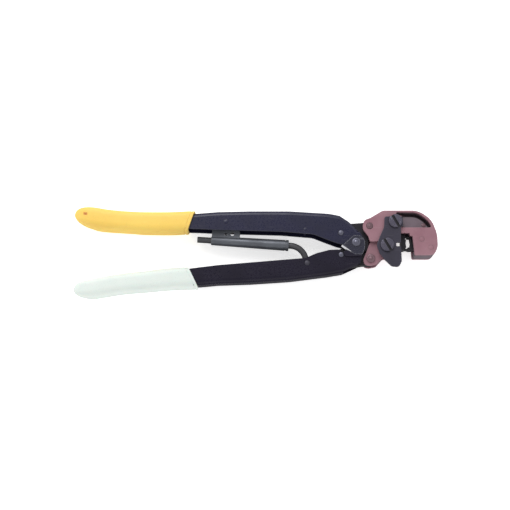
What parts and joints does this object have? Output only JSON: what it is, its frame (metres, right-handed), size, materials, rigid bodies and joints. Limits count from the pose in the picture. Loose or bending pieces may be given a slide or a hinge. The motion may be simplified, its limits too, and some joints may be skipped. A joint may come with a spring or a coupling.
{
  "type": "ratchet crimping tool",
  "caption": "Long-handled crimping tool lying on its side: C-shaped head with a small crimp nest, compound handles, a ratchet between them and two-colour vinyl grips.",
  "frame": {"origin": "foot of the main pivot pin, on the plane the tool lies on", "axes": "+X from the handles towards the head, +Y from the lower (white) handle towards the upper (yellow) one, +Z through the tool's thickness"},
  "size_m": [0.2747, 0.0696, 0.0247],
  "materials": {
    "rose_enamel": "semi-gloss rose-coloured finish over steel",
    "black_oxide": "black oxide, satin",
    "dark_steel": "dark satin steel",
    "grey_steel": "grey satin steel",
    "upper_enamel": "blue-black enamel, semi-gloss",
    "lower_enamel": "black enamel, semi-gloss",
    "yellow_vinyl": "smooth yellow vinyl",
    "white_vinyl": "smooth white vinyl"
  },
  "bodies": {
    "head": {"frame_plate_front": "rose_enamel", "frame_plate_back": "rose_enamel", "nose_spacer": "rose_enamel", "stationary_die": "dark_steel", "stationary_die_pin": "dark_steel", "nose_rivet_upper": "dark_steel", "nose_rivet_lower": "dark_steel", "upper_lug_pin": "dark_steel", "upper_lug_washer_front": "dark_steel", "upper_lug_washer_back": "dark_steel", "jaw_pivot_screw": "dark_steel"},
    "moving_jaw": {"jaw_side_plate_front": "rose_enamel", "jaw_side_plate_back": "rose_enamel", "jaw_block": "dark_steel", "moving_die": "dark_steel", "moving_die_pin": "dark_steel", "jaw_spacer": "dark_steel", "jaw_cover_plate": "black_oxide", "jaw_clamp_screw": "dark_steel", "lower_lug_pin": "dark_steel"},
    "upper_handle": {"upper_handle_channel": "upper_enamel", "upper_handle_lever": "dark_steel", "upper_handle_rivet": "dark_steel", "upper_handle_grip": "yellow_vinyl", "main_pivot_pin": "dark_steel", "main_pivot_washer_front": "dark_steel", "main_pivot_washer_back": "dark_steel", "stop_pin": "dark_steel", "ratchet_housing_pin": "dark_steel"},
    "lower_handle": {"lower_handle_channel": "lower_enamel", "lower_handle_lever": "dark_steel", "lower_handle_rivet": "dark_steel", "lower_handle_grip": "white_vinyl", "ratchet_rod_pin": "dark_steel", "rod_washer_front": "dark_steel", "rod_washer_back": "dark_steel"},
    "ratchet_housing": {"ratchet_housing": "grey_steel", "ratchet_housing_cap": "grey_steel", "return_spring": "grey_steel", "pawl_pin": "grey_steel"},
    "ratchet_pawl": {"ratchet_pawl": "grey_steel"},
    "ratchet_rod": {"ratchet_rod": "grey_steel"}
  },
  "joints": [
    {"name": "handle_close", "type": "hinge", "parent": "head", "child": "upper_handle", "pos_m": [0.01038, 0.01248, 0.0102], "axis": [0, 0, 1], "range_deg": [0, 10.58], "stiffness_Nm_per_rad": 2, "springref_deg": -11.46},
    {"name": "lower_handle_close", "type": "hinge", "parent": "upper_handle", "child": "lower_handle", "pos_m": [0, 0, 0.0102], "axis": [0, 0, 1], "range_deg": [-9.93, 0]},
    {"name": "jaw_close", "type": "hinge", "parent": "head", "child": "moving_jaw", "pos_m": [0.0296, 0.0156, 0.0102], "axis": [0, 0, 1], "range_deg": [0, 5.24]},
    {"name": "ratchet_swing", "type": "hinge", "parent": "upper_handle", "child": "ratchet_housing", "pos_m": [-0.098, 0.016, 0.0102], "axis": [0, 0, 1], "range_deg": [0, 6.1]},
    {"name": "rod_slide", "type": "slide", "parent": "ratchet_housing", "child": "ratchet_rod", "axis": [0.9978, -0.0663, 0], "range_m": [-0.00526, 0]},
    {"name": "pawl_lift", "type": "hinge", "parent": "ratchet_housing", "child": "ratchet_pawl", "pos_m": [-0.09821, 0.00762, 0.0102], "axis": [0, 0, -1], "range_deg": [0, 6], "stiffness_Nm_per_rad": 0.02, "springref_deg": -11.46}
  ],
  "couplings": [
    {"joint": "lower_handle_close", "follows": "handle_close", "ratio": -0.93734},
    {"joint": "jaw_close", "follows": "handle_close", "ratio": 0.49471},
    {"joint": "ratchet_swing", "follows": "handle_close", "ratio": 0.57613},
    {"joint": "rod_slide", "follows": "handle_close", "m_per_rad": -0.028449}
  ]
}
